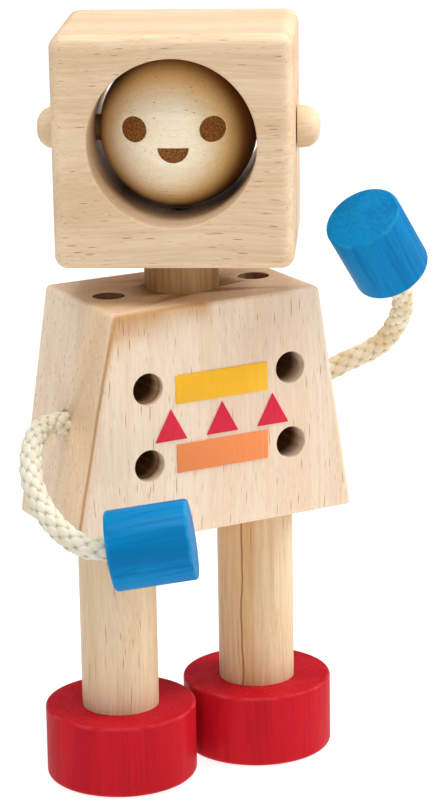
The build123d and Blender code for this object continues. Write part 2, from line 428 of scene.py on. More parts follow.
cottons = {
    "left": new_cotton(
        "tan_cotton",
        bright=(0.78, 0.69, 0.50, 1), dull=(0.68, 0.54, 0.31, 1),
        crevice=(0.45, 0.33, 0.14, 1), fluff=(0.86, 0.81, 0.68, 1),
    ),
    "right": new_cotton(
        "white_cotton",
        bright=(0.76, 0.71, 0.57, 1), dull=(0.71, 0.63, 0.45, 1),
        crevice=(0.42, 0.36, 0.21, 1), fluff=(0.80, 0.77, 0.66, 1),
    ),
}

# %% Braid both arms, and say what they are
for side, sign in (("left", 1), ("right", -1)):
    maker = rope_line(side)
    bare_line = bpy.data.meshes.new_from_object(maker)
    path = [vertex.co.copy() for vertex in bare_line.vertices]
    length = sum((b - a).length for a, b in zip(path, path[1:]))
    rope = plain_mesh(f"{side}_rope", maker, braid, Material=cottons[side])
    reach = max(vertex.value for vertex in rope.data.attributes["from_middle"].data)
    print(f"{side} rope: line {length * 1000:.1f} mm, surface up to {reach * 1000:.2f} mm from it")
    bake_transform(rope)
    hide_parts(f"{side}_arm_rope")


# %% [markdown]
# ## Wood
# All the wood is one light, fine hardwood with long straight fibres and short dark pores. A picture
# of wood wrapped on a block shows side grain on every face. A pattern in space does better: fibres
# and pores are drawn out along one axis, so the same pattern gives lines on the sides of a
# piece and dots on its ends. The group below takes a place measured along the piece's own grain.

# %% Build the wood group
grain, grain_in, grain_out = new_tree(
    "wood_grain",
    "ShaderNodeTree",
    {
        "Vector": ("Vector", None),
        "Pale": ("Color", (0.80, 0.64, 0.45, 1)),
        "Warm": ("Color", (0.72, 0.53, 0.34, 1)),
        "Pore Color": ("Color", (0.30, 0.14, 0.06, 1)),
        "Contrast": ("Float", 1.0),
        "Pores": ("Float", 0.6),
        "Pore Length": ("Float", 18.0),
        "End Grain": ("Float", 0.0),
        "Seed": ("Float", 0.0),
    },
    {"Color": "Color", "Figure": "Float", "Pore": "Float", "Height": "Float"},
)
millimetres = vector_math(grain, "MULTIPLY", grain_in["Vector"], (1000.0, 1000.0, 1000.0))
seed_steps = {"X": 31.7, "Y": 17.3, "Z": 53.9}
shift = add_node(
    grain,
    "ShaderNodeCombineXYZ",
    {axis: math(grain, "MULTIPLY", grain_in["Seed"], step) for axis, step in seed_steps.items()},
).outputs[0]
place = vector_math(grain, "ADD", millimetres, shift)
slow = vector_math(grain, "MULTIPLY", place, (0.03, 0.03, 0.012))
wander = vector_math(grain, "SUBTRACT", noise(grain, slow, 1.0, 1.0, output="Color"), (0.5, 0.5, 0.5))
wander = vector_math(grain, "MULTIPLY", wander, (9.0, 9.0, 0.0))
place = vector_math(grain, "ADD", place, wander)


def grain_noise(stretch, detail, roughness=0.5):
    """Noise drawn out along the grain."""
    return noise(grain, vector_math(grain, "MULTIPLY", place, stretch), 1.0, detail, roughness)


broad = grain_noise((0.09, 0.09, 0.007), 2.0)
streak = grain_noise((0.75, 0.75, 0.022), 4.0, 0.65)
fibre = grain_noise((4.5, 4.5, 0.11), 2.0)
figure = math(grain, "MULTIPLY_ADD", broad, 0.45, math(grain, "MULTIPLY", streak, 0.55))
figure = fade(grain, figure, 0.38, 0.62)
warmth = math(grain, "MULTIPLY", figure, grain_in["Contrast"], clamp=True)
body = mix(grain, warmth, grain_in["Pale"], grain_in["Warm"])
fine = fade(grain, fibre, 0.3, 0.7, 0.93, 1.04)
fine_grey = add_node(grain, "ShaderNodeCombineColor", {0: fine, 1: fine, 2: fine}).outputs[0]
body = mix(grain, 1.0, body, fine_grey, "MULTIPLY")


def pores(width, shorter, share):
    """Short vessels along the grain, one in some of the cells, as a mask."""
    across, along = 1.0 / width, math(grain, "DIVIDE", shorter, grain_in["Pore Length"])
    stretch = add_node(grain, "ShaderNodeCombineXYZ", {"X": across, "Y": across, "Z": along})
    spread = vector_math(grain, "MULTIPLY", place, stretch.outputs[0])
    cells = add_node(grain, "ShaderNodeTexVoronoi", {"Vector": spread, "Scale": 1.0})
    dice = add_node(grain, "ShaderNodeSeparateColor", {0: cells.outputs["Color"]}).outputs[0]
    chosen = math(grain, "LESS_THAN", dice, share)
    return math(grain, "MULTIPLY", chosen, fade(grain, cells.outputs["Distance"], 0.17, 0.09))


# vessels crowd in some bands of the wood and are few in others
crowding = grain_noise((0.05, 0.05, 0.02), 1.0)
share = math(grain, "MULTIPLY", grain_in["Pores"], fade(grain, crowding, 0.38, 0.58, 0.40, 1.0))
long_vessels = pores(0.85, 1.0, share)
short_vessels = pores(0.6, 1.9, share)
vessels = math(grain, "MAXIMUM", long_vessels, math(grain, "MULTIPLY", short_vessels, 0.55))
marked = mix(grain, math(grain, "MULTIPLY", vessels, 0.85), body, grain_in["Pore Color"])
ends = math(grain, "MULTIPLY", grain_in["End Grain"], 0.32)
marked = mix(grain, ends, marked, mix(grain, 1.0, marked, (0.80, 0.66, 0.52, 1), "MULTIPLY"))
relief = math(grain, "SUBTRACT", math(grain, "MULTIPLY", fibre, 0.25), vessels)
for socket, value in zip(grain_out, (marked, figure, vessels, relief)):
    grain.links.new(value, socket)
print("wood_grain:", len(grain.nodes), "nodes")

# %% [markdown]
# ## Edges
# Handling rubs the edges of a wooden toy first, and its rounded edges catch the light: bare wood gets
# smoother there and is made lighter, partly as wear and partly as a painted highlight, and stain gets
# thin and light. How near a point is to an edge follows from the piece's own size. On a block the
# surface lies on one pair of faces, so the second smallest of its three distances to the faces is
# the distance to the nearest edge. On a turned piece it is the larger of the distances to the side
# and to the end.

# %% Build the two edge groups
block, block_in, block_out = new_tree(
    "block_edges",
    "ShaderNodeTree",
    {
        "Vector": ("Vector", None),
        "Half Size": ("Vector", (0.03, 0.03, 0.03)),
        "Taper": ("Float", 0.0),
        "Width": ("Float", 3.0 * MM),
        "Depth Start": ("Float", 0.5 * MM),
        "Depth End": ("Float", 6.0 * MM),
    },
    {"Edge": "Float", "End": "Float", "Inside": "Float"},
)
at = parts(block, block_in["Vector"])
half = parts(block, block_in["Half Size"])
half_width = math(block, "SUBTRACT", half[0], math(block, "MULTIPLY", at[2], block_in["Taper"]))
gaps = [
    math(block, "SUBTRACT", reach, math(block, "ABSOLUTE", here))
    for reach, here in zip((half_width, half[1], half[2]), at)
]
total = math(block, "ADD", math(block, "ADD", gaps[0], gaps[1]), gaps[2])
least = math(block, "MINIMUM", math(block, "MINIMUM", gaps[0], gaps[1]), gaps[2])
most = math(block, "MAXIMUM", math(block, "MAXIMUM", gaps[0], gaps[1]), gaps[2])
second = math(block, "SUBTRACT", math(block, "SUBTRACT", total, least), most)
block.links.new(fade(block, second, block_in["Width"], 0.0), block_out[0])
block.links.new(fade(block, gaps[2], 0.4 * MM, 0.05 * MM), block_out[1])
block.links.new(fade(block, least, block_in["Depth Start"], block_in["Depth End"]), block_out[2])

rounded, rounded_in, rounded_out = new_tree(
    "turned_edges",
    "ShaderNodeTree",
    {
        "Vector": ("Vector", None),
        "Radius": ("Float", 0.01),
        "Half Height": ("Float", 0.01),
        "Width": ("Float", 2.0 * MM),
    },
    {"Edge": "Float", "End": "Float"},
)
at = parts(rounded, rounded_in["Vector"])
from_axis = math(
    rounded,
    "SQRT",
    math(rounded, "ADD", math(rounded, "MULTIPLY", at[0], at[0]), math(rounded, "MULTIPLY", at[1], at[1])),
)
side_gap = math(rounded, "SUBTRACT", rounded_in["Radius"], from_axis)
end_gap = math(rounded, "SUBTRACT", rounded_in["Half Height"], math(rounded, "ABSOLUTE", at[2]))
rounded.links.new(
    fade(rounded, math(rounded, "MAXIMUM", side_gap, end_gap), rounded_in["Width"], 0.0), rounded_out[0]
)
rounded.links.new(fade(rounded, end_gap, 0.4 * MM, 0.05 * MM), rounded_out[1])
print("edge groups:", len(block.nodes), "and", len(rounded.nodes), "nodes")

# %% [markdown]
# ## Streaks
# Here and there a board keeps one long dark line, where the tree laid down gum or heartwood. Such a
# line is a thin sheet through the wood: the group measures how far a point is from that sheet, on the
# side of the piece that shows it.

# %% Build the streak group
streaked, streaked_in, streaked_out = new_tree(
    "heart_streak",
    "ShaderNodeTree",
    {
        "Vector": ("Vector", None),
        "Across": ("Vector", (1.0, 0.0, 0.0)),
        "Facing": ("Vector", (0.0, -1.0, 0.0)),
        "Offset": ("Float", 0.0),
        "Width": ("Float", 1.0 * MM),
    },
    {"Streak": "Float"},
)
place = vector_math(streaked, "MULTIPLY", streaked_in["Vector"], (20.0, 20.0, 45.0))
waver = math(streaked, "SUBTRACT", noise(streaked, place, 1.0, 2.0), 0.5)
waver = math(streaked, "MULTIPLY", waver, 3.0 * MM)


def dot(vector):
    """How far a point lies along a vector."""
    inputs = {0: streaked_in["Vector"], 1: vector}
    return add_node(streaked, "ShaderNodeVectorMath", inputs, operation="DOT_PRODUCT").outputs["Value"]


gap = math(streaked, "ADD", dot(streaked_in["Across"]), waver)
gap = math(streaked, "SUBTRACT", gap, streaked_in["Offset"])
sheet = fade(streaked, math(streaked, "ABSOLUTE", gap), streaked_in["Width"], 0.0)
shown = fade(streaked, dot(streaked_in["Facing"]), 0.0, 6.0 * MM)
streaked.links.new(math(streaked, "MULTIPLY", sheet, shown), streaked_out[0])
print("heart_streak:", len(streaked.nodes), "nodes")

# %% [markdown]
# ## Bare and stained wood
# One function makes each piece's material, because each piece was sawn or turned from its own bit of
# wood: it has its own grain direction, its own seed and its own size for the edges. A Mapping node of
# type TEXTURE turns the object's coordinates into the piece's own, with the grain along Z. Stained
# wood keeps the same figure and pores, in the stain's colours.

# %% The functions that make wood
# what edges multiply the wood's colour by, for wear and a painted highlight, and the painted shade deep
# inside holes
edge_wear_and_highlight_tint = (1.10, 1.12, 1.15, 1)
hole_shade_tint = (0.15, 0.080, 0.028, 1)

# painted shade on the ball, where the window shades its rim: the way its pale side faces, and each ring as
# (where it starts, where it is full, tint)
ball_shade_axis = (-0.05, 0.98, -0.19)
ball_shade_rings = ((0.93, 0.55, (0.88, 0.68, 0.38, 1)), (0.66, 0.26, (0.30, 0.15, 0.045, 1)))


def grain_frame(centre, along, across=None):
    """A frame at centre whose Z is the grain. across, if given, sets its Y."""
    z = Vector(along).normalized()
    hint = Vector(across) if across else (Vector((0, 1, 0)) if abs(z.y) < 0.9 else Vector((1, 0, 0)))
    x = hint.cross(z).normalized()
    y = z.cross(x)
    return Matrix.Translation(centre) @ Matrix((x, y, z)).transposed().to_4x4()


def edge_end_hole_masks(tree, vector, size, width, taper, depths):
    """How near an edge is, for wear and a painted highlight, how near an end is, and how deep inside a
    piece's holes a point is, for painted shade.
    """
    if len(size) == 2:
        inputs = {"Vector": vector, "Radius": size[0], "Half Height": size[1], "Width": width}
        edge, end = add_group(tree, rounded, inputs).outputs
        return edge, end, None
    inputs = {"Vector": vector, "Half Size": size, "Taper": taper, "Width": width}
    inputs.update({"Depth Start": depths[0], "Depth End": depths[1]})
    return tuple(add_group(tree, block, inputs).outputs)


def paint_ball_shade(tree, shader, vector, colour, radius):
    """Paint the window's shade on a polished ball, as a darker ring between its pale front and its pale back.
    """
    inputs = {0: vector, 1: ball_shade_axis}
    front = add_node(tree, "ShaderNodeVectorMath", inputs, operation="DOT_PRODUCT").outputs["Value"]
    share = math(tree, "ABSOLUTE", math(tree, "DIVIDE", front, radius))
    for start, stop, tint in ball_shade_rings:
        ring = mix(tree, 1.0, colour, tint, "MULTIPLY")
        colour = mix(tree, fade(tree, share, start, stop), colour, ring)
    fill(tree, shader, {"Coat Weight": 0.8, "Coat Roughness": 0.32})
    return colour


def stained(tree, shader, vector, figure, vessels, edge, stain):
    """A thin stain: the figure and the pores show through, and in places on the edges it turns lighter,
    partly worn thin and partly a painted highlight.
    """
    deep, clear, worn_and_highlight = stain
    in_pores = [0.5 * part for part in deep[:3]] + [1]
    colour = mix(tree, fade(tree, figure, 0.1, 0.9), clear, deep)
    colour = mix(tree, math(tree, "MULTIPLY", vessels, 0.3), colour, in_pores)
    # painted highlight and wear: the stain turns lighter in patches along its edges
    edge_breakup = fade(tree, noise(tree, vector, 160.0, 2.0), 0.40, 0.62, 0.10, 0.6)
    fill(tree, shader, {"Coat Weight": 0.1, "Coat Roughness": 0.35})
    return mix(tree, math(tree, "MULTIPLY", edge, edge_breakup), colour, worn_and_highlight)


def wood_material(
    name, own_frame, seed, size=None, taper=0.0, edge_width=2.5 * MM, depths=(0.4 * MM, 5.0 * MM), stain=None,
    streaks=(), shade_ring_radius=None, **wood
):
    """Bare or stained wood.

    size is a block's half size, or (radius, half height) for a turned piece. A ball's radius, when given,
    paints the window's shade on the ball as a darker ring.
    Further values, such as Pores, go to the wood group.
    """
    material, tree, shader = new_material(name)
    mapping = add_node(tree, "ShaderNodeMapping", {"Vector": object_place(tree)}, vector_type="TEXTURE")
    mapping.inputs["Location"].default_value = own_frame.to_translation()
    mapping.inputs["Rotation"].default_value = own_frame.to_euler("XYZ")
    vector = mapping.outputs[0]
    edge, end, inside = 0.0, 0.0, None
    if size is not None:
        edge, end, inside = edge_end_hole_masks(tree, vector, size, edge_width, taper, depths)
    wooden = add_group(tree, grain, {"Vector": vector, "Seed": seed, "End Grain": end, **wood})
    colour, figure, vessels, height = wooden.outputs
    for across, facing, offset, width, tint in streaks:
        inputs = {"Vector": vector, "Across": across, "Facing": facing, "Offset": offset, "Width": width}
        line = add_group(tree, streaked, inputs)
        colour = mix(tree, line.outputs[0], colour, mix(tree, 1.0, colour, tint, "MULTIPLY"))
    # painted shade: a ball darkens in a ring towards the rim that the window shades
    if shade_ring_radius:
        colour = paint_ball_shade(tree, shader, vector, colour, shade_ring_radius)
    if stain:
        colour = stained(tree, shader, vector, figure, vessels, edge, stain)
    elif size is not None:
        # edges turn lighter: partly wear, partly a painted highlight where rounded edges catch the light
        lighter = mix(tree, 1.0, colour, edge_wear_and_highlight_tint, "MULTIPLY")
        colour = mix(tree, math(tree, "MULTIPLY", edge, 0.7), colour, lighter)
    # painted shade: wood darkens deeper inside holes, where little light gets in
    if inside is not None and not stain:
        colour = mix(tree, inside, colour, mix(tree, 1.0, colour, hole_shade_tint, "MULTIPLY"))
    low, high = (0.42, 0.55) if stain else (0.46, 0.62)
    roughness = fade(tree, figure, 0.0, 1.0, low, high)
    if inside is not None:
        roughness = math(tree, "MAXIMUM", roughness, inside)
    normal = bumps(tree, height, 0.6, 0.06 * MM)
    fill(tree, shader, {"Base Color": colour, "Roughness": roughness, "Normal": normal})
    fill(tree, shader, {"Specular IOR Level": 0.03 if stain else 0.15})
    return material


# %% [markdown]
# ## Turned pieces
# Legs, feet, neck, axle, ear knobs and hands were all turned on a lathe, so one tree makes them all.
# It draws half of the section as a line with rounded corners, lays out a grid with one row for each
# point of that line, and turns each row about the axis. The corners are listed from the middle
# of the base, out and up to the rim, and into the bore.

# %% Build the lathe's tree
lathe, lathe_in, lathe_out = new_tree(
    "turned_piece",
    "GeometryNodeTree",
    {
        "Geometry": ("Geometry", None),
        "Radius": ("Float", 12.0 * MM),
        "Height": ("Float", 24.0 * MM),
        "Base Edge": ("Float", 0.8 * MM),
        "Rim Edge": ("Float", 0.8 * MM),
        "Bore Radius": ("Float", 0.0),
        "Bore Depth": ("Float", 0.0),
        "Mouth Edge": ("Float", 0.0),
        "Steps Around": ("Int", 96),
        "Material": ("Material", None),
    },
    {"Geometry": "Geometry"},
)
floor_height = math(lathe, "SUBTRACT", lathe_in["Height"], lathe_in["Bore Depth"])
corners = [
    (0.0, 0.0),
    (lathe_in["Radius"], 0.0),
    (lathe_in["Radius"], lathe_in["Height"]),
    (lathe_in["Bore Radius"], lathe_in["Height"]),
    (lathe_in["Bore Radius"], floor_height),
    (0.0, floor_height),
]
edges = [0.0, lathe_in["Base Edge"], lathe_in["Rim Edge"], lathe_in["Mouth Edge"], 0.0, 0.0]


def by_corner(values, kind):
    """A different value for each corner of the section."""
    node = add_node(lathe, "GeometryNodeIndexSwitch", data_type=kind)
    while len(node.index_switch_items) < len(values):
        node.index_switch_items.new()
    lathe.links.new(add_node(lathe, "GeometryNodeInputIndex").outputs[0], node.inputs["Index"])
    for number, value in enumerate(values):
        connect(lathe, node.inputs[1 + number], value)
    return node.outputs[0]


places = [add_node(lathe, "ShaderNodeCombineXYZ", {"X": x, "Z": z}).outputs[0] for x, z in corners]
dots = add_node(lathe, "GeometryNodeMeshLine", {"Count": len(corners)})
outline = add_node(
    lathe, "GeometryNodeSetPosition", {"Geometry": dots.outputs[0], "Position": by_corner(places, "VECTOR")}
)
outline = add_node(lathe, "GeometryNodeMeshToCurve", {"Mesh": outline.outputs[0]})
outline = add_node(
    lathe,
    "GeometryNodeFilletCurve",
    {"Curve": outline.outputs[0], "Radius": by_corner(edges, "FLOAT"), "Count": 5},
    mode="POLY",
)
section = add_node(lathe, "GeometryNodeCurveToMesh", {"Curve": outline.outputs[0]}).outputs[0]
rows = add_node(lathe, "GeometryNodeAttributeDomainSize", {"Geometry": section}, component="MESH").outputs[0]
columns = math(lathe, "ADD", lathe_in["Steps Around"], 1)
grid = add_node(
    lathe,
    "GeometryNodeMeshGrid",
    {"Size X": 1.0, "Size Y": 1.0, "Vertices X": rows, "Vertices Y": columns},
)
position = add_node(lathe, "GeometryNodeInputPosition").outputs[0]
spot = parts(lathe, position)
row = math(lathe, "MULTIPLY", math(lathe, "ADD", spot[0], 0.5), math(lathe, "SUBTRACT", rows, 1))
sample = add_node(
    lathe,
    "GeometryNodeSampleIndex",
    {
        "Geometry": section,
        "Value": position,
        "Index": math(lathe, "ROUND", row),
    },
    data_type="FLOAT_VECTOR",
    domain="POINT",
).outputs[0]
point = parts(lathe, sample)
around = math(lathe, "MULTIPLY", math(lathe, "ADD", spot[1], 0.5), 2 * pi)
placed = add_node(
    lathe,
    "ShaderNodeCombineXYZ",
    {
        "X": math(lathe, "MULTIPLY", point[0], math(lathe, "COSINE", around)),
        "Y": math(lathe, "MULTIPLY", point[0], math(lathe, "SINE", around)),
        "Z": point[2],
    },
)
shell = add_node(
    lathe, "GeometryNodeSetPosition", {"Geometry": grid.outputs[0], "Position": placed.outputs[0]}
)
closed = add_node(
    lathe, "GeometryNodeMergeByDistance", {"Geometry": shell.outputs[0], "Distance": 0.001 * MM}
)
real = add_node(lathe, "GeometryNodeRealizeInstances", {"Geometry": closed.outputs[0]})
finished = add_node(
    lathe, "GeometryNodeSetMaterial", {"Geometry": real.outputs[0], "Material": lathe_in["Material"]}
)
lathe.links.new(finished.outputs[0], lathe_out[0])
print("turned_piece:", len(lathe.nodes), "nodes")


# %% Helpers that finish a piece and seat it in the frame
def clean(mesh, sharp_angle=32.0):
    """Merge doubles, turn faces outwards, and shade smoothly except over sharp edges."""
    work = bmesh.new()
    work.from_mesh(mesh)
    bmesh.ops.remove_doubles(work, verts=work.verts, dist=0.001 * MM)
    bmesh.ops.recalc_face_normals(work, faces=work.faces)
    open_edges = sum(not edge.is_manifold for edge in work.edges)
    work.to_mesh(mesh)
    work.free()
    mesh.shade_smooth()
    mesh.set_sharp_from_angle(angle=radians(sharp_angle))
    return open_edges


def seat(piece, body, node):
    """Tie a finished piece to its body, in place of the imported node."""
    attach(piece, body)
    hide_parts(node)


def turn_piece(name, body, node, slot, own_frame, material, **sizes):
    """Turn a piece on the lathe, put it in its place and seat it."""
    maker = bpy.data.objects.new(name, bpy.data.meshes.new(name))
    piece = plain_mesh(name, maker, lathe, Material=material, **sizes)
    piece.data.transform(own_frame)
    print(f"{name}: {clean(piece.data)} open edges")
    seat(piece, body, node)
    return piece


def carved_piece(name, body, node, materials, pick=None):
    """A merged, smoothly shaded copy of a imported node. pick says which material a face gets."""
    mesh = bpy.data.objects[node].data.copy()
    mesh.materials.clear()
    maker = bpy.data.objects.new(name, mesh)
    bpy.context.scene.collection.objects.link(maker)
    print(f"{name}: {clean(mesh)} open edges")
    for material in materials:
        mesh.materials.append(material)
    if pick:
        for face in mesh.polygons:
            face.material_index = pick(face)
    weighted = maker.modifiers.new("normals", "WEIGHTED_NORMAL")
    weighted.keep_sharp = True
    graph = bpy.context.evaluated_depsgraph_get()
    mesh = bpy.data.meshes.new_from_object(maker.evaluated_get(graph), depsgraph=graph)
    piece = bpy.data.objects.new(name, mesh)
    bpy.data.objects.remove(maker)
    bpy.context.scene.collection.objects.link(piece)
    seat(piece, body, node)
    return piece


# %% [markdown]
# ## Feet, legs and neck
# The feet are stained red, the dowels are bare. Dowels are cut with the grain along them, and show
# the longest hairlines of all the wood.

# %% Turn the feet, legs and neck
up = Vector((0, 0, 1))


def middle_of(node):
    """The middle of a node's box, and the box's size."""
    low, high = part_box(node)
    return (low + high) / 2, high - low


# each stain is (deep, clear, lighter edge); the lighter edge is partly wear and partly a painted highlight
red = ((0.46, 0.006, 0.014, 1), (0.54, 0.008, 0.018, 1), (0.70, 0.07, 0.08, 1))
leg_across, leg_facing = (0.886, -0.464, 0.0), (-0.464, -0.886, 0.0)
leg_woods = {
    "left": (
        (0.78, 0.60, 0.38, 1),
        (0.69, 0.47, 0.26, 1),
        [
            (leg_across, leg_facing, -2.6 * MM, 3.4 * MM, (0.90, 0.80, 0.66, 1)),
            (leg_across, leg_facing, -4.6 * MM, 0.5 * MM, (0.50, 0.32, 0.17, 1)),
        ],
    ),
    "right": ((0.78, 0.61, 0.41, 1), (0.70, 0.51, 0.31, 1), []),
}
leg_radius = 12.2 * MM
leg_socket_depth = 14.0 * MM
screw_radius = 2.0 * MM
screw_hole_depth = 17.0 * MM
glue_gap = 0.05 * MM
for seed, side in enumerate(("left", "right")):
    middle, size = middle_of(f"{side}_foot")
    base = Matrix.Translation(middle - up * size.z / 2)
    paint = wood_material(
        f"{side}_foot_stain", grain_frame(middle, up), 3.0 + seed, (size.x / 2, size.z / 2),
        edge_width=1.4 * MM, stain=red, **{"Pores": 0.5, "Pore Length": 14.0},
    )
    turn_piece(
        f"{side}_shoe", "torso", f"{side}_foot", "red_paint", base, paint,
        **{
            "Radius": size.x / 2, "Height": size.z, "Base Edge": 1.6 * MM, "Rim Edge": 0.8 * MM,
            "Bore Radius": leg_radius + glue_gap, "Bore Depth": leg_socket_depth, "Mouth Edge": 0.5 * MM,
        },
    )
    middle, size = middle_of(f"{side}_leg")
    pale, warm, streaks = leg_woods[side]
    dowel = wood_material(
        f"{side}_leg_wood", grain_frame(middle, up), 7.0 + seed, (size.x / 2, size.z / 2), streaks=streaks,
        **{"Pores": 1.0, "Pore Length": 75.0, "Pale": pale, "Warm": warm},
    )
    base = Matrix.Translation(middle - up * size.z / 2)
    turn_piece(
        f"{side}_dowel_leg", "torso", f"{side}_leg", "dowel_wood", base, dowel,
        **{"Radius": size.x / 2, "Height": size.z, "Base Edge": 0.5 * MM, "Rim Edge": 0.5 * MM},
    )

middle, size = middle_of("neck_peg")
# the neck's dark colours are painted shade, for the shadow under the head
neck_shaded_wood = wood_material(
    "neck_shaded_wood", grain_frame(middle, up), 12.0, (size.x / 2, size.z / 2),
    **{"Pores": 0.6, "Pore Length": 60.0, "Pale": (0.52, 0.32, 0.15, 1), "Warm": (0.39, 0.21, 0.08, 1)},
)
turn_piece(
    "dowel_neck", "torso", "neck_peg", "dowel_wood", Matrix.Translation(middle - up * size.z / 2), neck_shaded_wood,
    **{
        "Radius": size.x / 2, "Height": size.z, "Base Edge": 0.3 * MM, "Rim Edge": 0.3 * MM,
        "Bore Radius": screw_radius + glue_gap, "Bore Depth": screw_hole_depth,
    },
)

# %% [markdown]
# ## Hands
# Each hand is a short dowel, stained blue, with the rope's hole in one end. The lathe bores from the
# top, so a hand is laid with its top towards the rope.

# %% Turn the hands
# each stain is (deep, clear, lighter edge); the lighter edge is partly wear and partly a painted highlight
blue = ((0.0, 0.155, 0.38, 1), (0.0, 0.205, 0.47, 1), (0.03, 0.33, 0.60, 1))
hand_radius = 12.0 * MM
hand_length = 24.5 * MM
rope_gap = 0.3 * MM
for seed, side in enumerate(("left", "right")):
    along = hand_directions[side].normalized()
    far_end = hand_starts[side] + along * hand_length
    middle = hand_starts[side] + along * hand_length / 2
    paint = wood_material(
        f"{side}_hand_stain", grain_frame(middle, along), 15.0 + seed, (hand_radius, hand_length / 2),
        edge_width=1.3 * MM, stain=blue, **{"Pores": 0.55, "Pore Length": 12.0},
    )
    turn_piece(
        f"{side}_mitten", f"{side}_arm", f"{side}_hand", "blue_paint", grain_frame(far_end, -along), paint,
        **{
            "Radius": hand_radius, "Height": hand_length, "Base Edge": 0.8 * MM, "Rim Edge": 0.8 * MM,
            "Bore Radius": rope_diameter / 2 + rope_gap, "Bore Depth": 9.0 * MM, "Mouth Edge": 0.2 * MM,
        },
    )

# %% [markdown]
# ## Torso
# The torso is one block with the grain upright. Its sides lean in, which the edge group allows for
# with its taper. Six peg holes, the neck's socket and two rope holes are already cut in the packed
# solid, so its copy keeps that shape and only gets clean shading, with painted shade in darker wood
# on the walls of the two shoulder holes.

# %% Finish the torso
torso_base_width = 94.2 * MM
torso_top_width = 71.2 * MM
torso_height = 72.8 * MM
torso_lean = (torso_base_width - torso_top_width) / 2 / torso_height
torso_side = ((0.0, 1.0, 0.085), (-1.0, 0.0, 0.0))
shoulder_hole_spacing = 50.8 * MM
shoulder_hole_floor = 140.8 * MM
peg_hole_radius = 5.0 * MM
middle, size = middle_of("torso_block")
# the peg holes darken deeper in with painted shade
torso_wood = wood_material(
    "torso_wood", grain_frame(middle, up), 21.0,
    ((torso_base_width + torso_top_width) / 4, size.y / 2, size.z / 2),
    taper=torso_lean, depths=(1.0 * MM, 9.0 * MM),
    streaks=[
        (*torso_side, -11.0 * MM, 16.0 * MM, (0.98, 0.90, 0.76, 1)),
        (*torso_side, -20.9 * MM, 1.7 * MM, (0.66, 0.46, 0.26, 1)),
    ],
    **{
        "Pores": 1.25, "Pore Length": 24.0, "Pore Color": (0.34, 0.12, 0.06, 1),
        "Pale": (0.85, 0.69, 0.53, 1), "Warm": (0.80, 0.60, 0.43, 1),
    },
)
# painted shade: the walls of the two shoulder holes get this darker wood
hole_shade_wood = wood_material(
    "hole_shade_wood", grain_frame(middle, up), 22.0,
    **{"Pale": (0.30, 0.17, 0.09, 1), "Warm": (0.22, 0.11, 0.06, 1)},
)


def torso_face_kind(face):
    """1 inside the shoulder holes, which get darker wood as painted shade, 0 everywhere else."""
    from_axis = Vector((abs(face.center.x) - shoulder_hole_spacing / 2, face.center.y)).length
    reached = face.center.z > shoulder_hole_floor - 0.1 * MM
    return int(reached and from_axis < peg_hole_radius + 0.02 * MM)


carved_piece("torso", "torso", "torso_block", [torso_wood, hole_shade_wood], torso_face_kind)

# %% [markdown]
# ## Painted tiles
# Two bars and three triangles of thin painted board are glued to the chest. Their edges are just
# broken with a bevel, so each catches a thin line of light.

# %% Finish the tiles
def tile_paint(name, seed, deep, clear, worn_and_highlight):
    """Opaque paint on a thin board."""
    # the half depth is set far too large, so that only a tile's outline counts as its edge
    middle, size = middle_of(name)
    return wood_material(
        f"{name}_paint", grain_frame(middle, up), seed, (size.x / 2, 1.0, size.z / 2), edge_width=0.5 * MM,
        stain=(deep, clear, worn_and_highlight), **{"Pores": 0.15, "Pore Length": 16.0},
    )


# each paint is (deep, clear, lighter edge); the lighter edge is partly wear and partly a painted highlight on
# the outline
tile_colours = {
    "yellow": ((0.88, 0.46, 0.030, 1), (0.91, 0.49, 0.034, 1), (0.95, 0.68, 0.15, 1)),
    "orange": ((0.81, 0.25, 0.085, 1), (0.84, 0.27, 0.092, 1), (0.90, 0.42, 0.20, 1)),
    "crimson": ((0.64, 0.024, 0.052, 1), (0.68, 0.028, 0.058, 1), (0.76, 0.10, 0.13, 1)),
}
tiles = {
    "yellow_bar": "yellow", "orange_bar": "orange",
    "left_triangle": "crimson", "middle_triangle": "crimson", "right_triangle": "crimson",
}
tile_bevel = 0.12 * MM
for seed, (node, colour) in enumerate(tiles.items()):
    mesh = bpy.data.objects[node].data.copy()
    mesh.materials.clear()
    mesh.materials.append(tile_paint(node, 30.0 + seed, *tile_colours[colour]))
    work = bmesh.new()
    work.from_mesh(mesh)
    bmesh.ops.remove_doubles(work, verts=work.verts, dist=0.001 * MM)
    bmesh.ops.dissolve_limit(work, angle_limit=radians(1), verts=work.verts, edges=work.edges)
    bmesh.ops.bevel(
        work, geom=work.edges[:], offset=tile_bevel, offset_type="OFFSET", segments=2, profile=0.5,
        affect="EDGES",
    )
    work.to_mesh(mesh)
    work.free()
    print(f"{node}: {clean(mesh, 60.0)} open edges, {len(mesh.polygons)} faces")
    tile = bpy.data.objects.new(f"{node}_tile", mesh)
    bpy.context.scene.collection.objects.link(tile)
    seat(tile, "torso", node)

# %% [markdown]
# ## Head
# The head is a rounded block with the grain from ear to ear, turned a little on the neck. A round
# window goes right through it, and the ball face turns in the window on its axle.

# %% Finish the head, the ball and the axle
head_turn = radians(-32.0)
head_side = Vector((cos(head_turn), sin(head_turn), 0))
head_front = Vector((sin(head_turn), -cos(head_turn), 0))
face_height = 206.7 * MM
head_bottom = 168.3 * MM
head_height = 70.8 * MM
head_depth = 59.4 * MM
head_width = 72.4 * MM
head_middle = Vector((0, 0, head_bottom + head_height / 2))
head_frame = grain_frame(head_middle, head_side, across=head_front)
